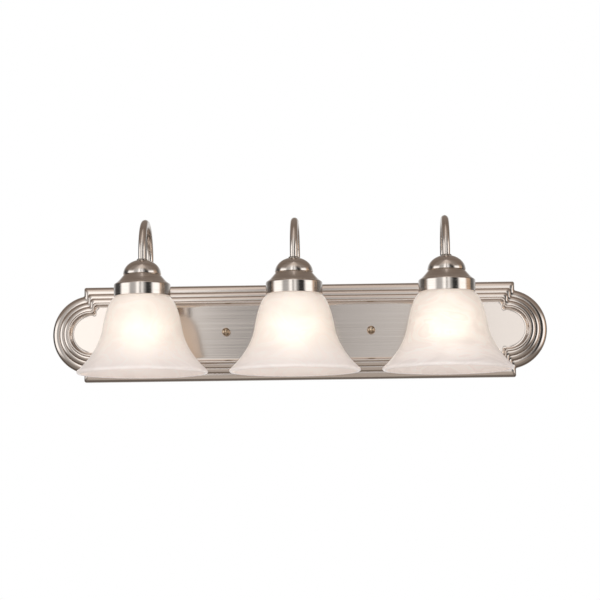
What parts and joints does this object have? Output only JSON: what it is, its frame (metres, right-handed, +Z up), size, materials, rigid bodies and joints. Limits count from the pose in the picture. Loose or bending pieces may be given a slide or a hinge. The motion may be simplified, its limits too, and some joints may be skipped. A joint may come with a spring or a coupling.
{
  "type": "vanity light bar",
  "caption": "Wall light bar with a stepped, round-ended pressed backplate, gooseneck arms and flared opal glass shades that hang mouth down over lit bulbs.",
  "frame": {"origin": "middle of the mounting strip's slot pattern, on the strip's back face, which lies in the wall plane", "axes": "+X along the bar to the right as seen from the room, -Y out of the wall into the room, +Z up"},
  "size_m": [0.61, 0.2244, 0.1869],
  "materials": {
    "brushed_nickel": "brushed nickel plate, fine lines along the bar",
    "satin_nickel_spun": "polished to satin nickel, spun",
    "zinc_steel": "bright zinc plate",
    "green_steel": "green grounding screw",
    "bare_copper": "bare copper",
    "ivory_nylon": "moulded nylon",
    "wire_insulation": "PVC insulation, black and white",
    "ball_nut_brass": "polished, brass-toned nickel",
    "socket_ceramic": "glazed porcelain",
    "socket_brass": "bare brass",
    "ring_phenolic": "moulded dark brown phenolic",
    "alabaster_glass": "white alabaster-swirl opal glass, lit from inside",
    "bulb_frost": "inside-frosted glass, glowing",
    "bulb_nickel": "rolled aluminium",
    "bulb_black_glass": "black glass insulator"
  },
  "bodies": {
    "fixture": {"backplate": "brushed_nickel", "mounting_bracket": "zinc_steel", "bracket_studs": "zinc_steel", "stud_lock_nuts": "zinc_steel", "ground_screw": "green_steel", "ground_wire": "bare_copper", "splice_block": "ivory_nylon", "arm_1": "brushed_nickel", "arm_2": "brushed_nickel", "arm_3": "brushed_nickel", "arm_collar_1": "brushed_nickel", "arm_collar_2": "brushed_nickel", "arm_collar_3": "brushed_nickel", "arm_plate_nut_1": "zinc_steel", "arm_plate_nut_2": "zinc_steel", "arm_plate_nut_3": "zinc_steel", "arm_ferrule_1": "brushed_nickel", "arm_ferrule_2": "brushed_nickel", "arm_ferrule_3": "brushed_nickel", "arm_lock_nut_1": "zinc_steel", "arm_lock_nut_2": "zinc_steel", "arm_lock_nut_3": "zinc_steel", "lead_wires_1": "wire_insulation", "lead_wires_2": "wire_insulation", "lead_wires_3": "wire_insulation", "holder_1": "satin_nickel_spun", "holder_2": "satin_nickel_spun", "holder_3": "satin_nickel_spun", "socket_body_1": "socket_ceramic", "socket_body_2": "socket_ceramic", "socket_body_3": "socket_ceramic", "socket_shell_1": "socket_brass", "socket_shell_2": "socket_brass", "socket_shell_3": "socket_brass", "socket_contact_1": "socket_brass", "socket_contact_2": "socket_brass", "socket_contact_3": "socket_brass"},
    "ball_nut_left": {"ball_nut_left": "ball_nut_brass"},
    "ball_nut_right": {"ball_nut_right": "ball_nut_brass"},
    "shade_1": {"shade_1": "alabaster_glass"},
    "shade_ring_1": {"shade_ring_1": "ring_phenolic"},
    "bulb_screw_1": {"bulb_tip_1": "bulb_nickel"},
    "bulb_1": {"bulb_globe_1": "bulb_frost", "bulb_base_1": "bulb_nickel", "bulb_insulator_1": "bulb_black_glass"},
    "shade_2": {"shade_2": "alabaster_glass"},
    "shade_ring_2": {"shade_ring_2": "ring_phenolic"},
    "bulb_screw_2": {"bulb_tip_2": "bulb_nickel"},
    "bulb_2": {"bulb_globe_2": "bulb_frost", "bulb_base_2": "bulb_nickel", "bulb_insulator_2": "bulb_black_glass"},
    "shade_3": {"shade_3": "alabaster_glass"},
    "shade_ring_3": {"shade_ring_3": "ring_phenolic"},
    "bulb_screw_3": {"bulb_tip_3": "bulb_nickel"},
    "bulb_3": {"bulb_globe_3": "bulb_frost", "bulb_base_3": "bulb_nickel", "bulb_insulator_3": "bulb_black_glass"}
  },
  "joints": [
    {"name": "shade_drop_1", "type": "slide", "parent": "fixture", "child": "shade_1", "axis": [0, 0, -1], "range_m": [0, 0.0075]},
    {"name": "shade_ring_turn_1", "type": "hinge", "parent": "shade_1", "child": "shade_ring_1", "pos_m": [-0.1778, -0.148, 0.036], "axis": [0, 0, -1], "range_deg": [0, 1080]},
    {"name": "bulb_travel_1", "type": "slide", "parent": "fixture", "child": "bulb_screw_1", "axis": [0, 0, -1], "range_m": [0, 0.01815]},
    {"name": "bulb_turn_1", "type": "hinge", "parent": "bulb_screw_1", "child": "bulb_1", "pos_m": [-0.1778, -0.148, 0.04], "axis": [0, 0, -1], "range_deg": [0, 1800]},
    {"name": "shade_drop_2", "type": "slide", "parent": "fixture", "child": "shade_2", "axis": [0, 0, -1], "range_m": [0, 0.0075]},
    {"name": "shade_ring_turn_2", "type": "hinge", "parent": "shade_2", "child": "shade_ring_2", "pos_m": [0, -0.148, 0.036], "axis": [0, 0, -1], "range_deg": [0, 1080]},
    {"name": "bulb_travel_2", "type": "slide", "parent": "fixture", "child": "bulb_screw_2", "axis": [0, 0, -1], "range_m": [0, 0.01815]},
    {"name": "bulb_turn_2", "type": "hinge", "parent": "bulb_screw_2", "child": "bulb_2", "pos_m": [0, -0.148, 0.04], "axis": [0, 0, -1], "range_deg": [0, 1800]},
    {"name": "shade_drop_3", "type": "slide", "parent": "fixture", "child": "shade_3", "axis": [0, 0, -1], "range_m": [0, 0.0075]},
    {"name": "shade_ring_turn_3", "type": "hinge", "parent": "shade_3", "child": "shade_ring_3", "pos_m": [0.1778, -0.148, 0.036], "axis": [0, 0, -1], "range_deg": [0, 1080]},
    {"name": "bulb_travel_3", "type": "slide", "parent": "fixture", "child": "bulb_screw_3", "axis": [0, 0, -1], "range_m": [0, 0.01815]},
    {"name": "bulb_turn_3", "type": "hinge", "parent": "bulb_screw_3", "child": "bulb_3", "pos_m": [0.1778, -0.148, 0.04], "axis": [0, 0, -1], "range_deg": [0, 1800]},
    {"name": "ball_nut_left_off", "type": "slide", "parent": "fixture", "child": "ball_nut_left", "axis": [0, -1, 0], "range_m": [0, 0.02]},
    {"name": "ball_nut_right_off", "type": "slide", "parent": "fixture", "child": "ball_nut_right", "axis": [0, -1, 0], "range_m": [0, 0.02]}
  ],
  "couplings": [
    {"joint": "shade_ring_turn_1", "follows": "shade_drop_1", "rad_per_m": 2513.3},
    {"joint": "bulb_turn_1", "follows": "bulb_travel_1", "rad_per_m": 1731.4},
    {"joint": "shade_ring_turn_2", "follows": "shade_drop_2", "rad_per_m": 2513.3},
    {"joint": "bulb_turn_2", "follows": "bulb_travel_2", "rad_per_m": 1731.4},
    {"joint": "shade_ring_turn_3", "follows": "shade_drop_3", "rad_per_m": 2513.3},
    {"joint": "bulb_turn_3", "follows": "bulb_travel_3", "rad_per_m": 1731.4}
  ]
}
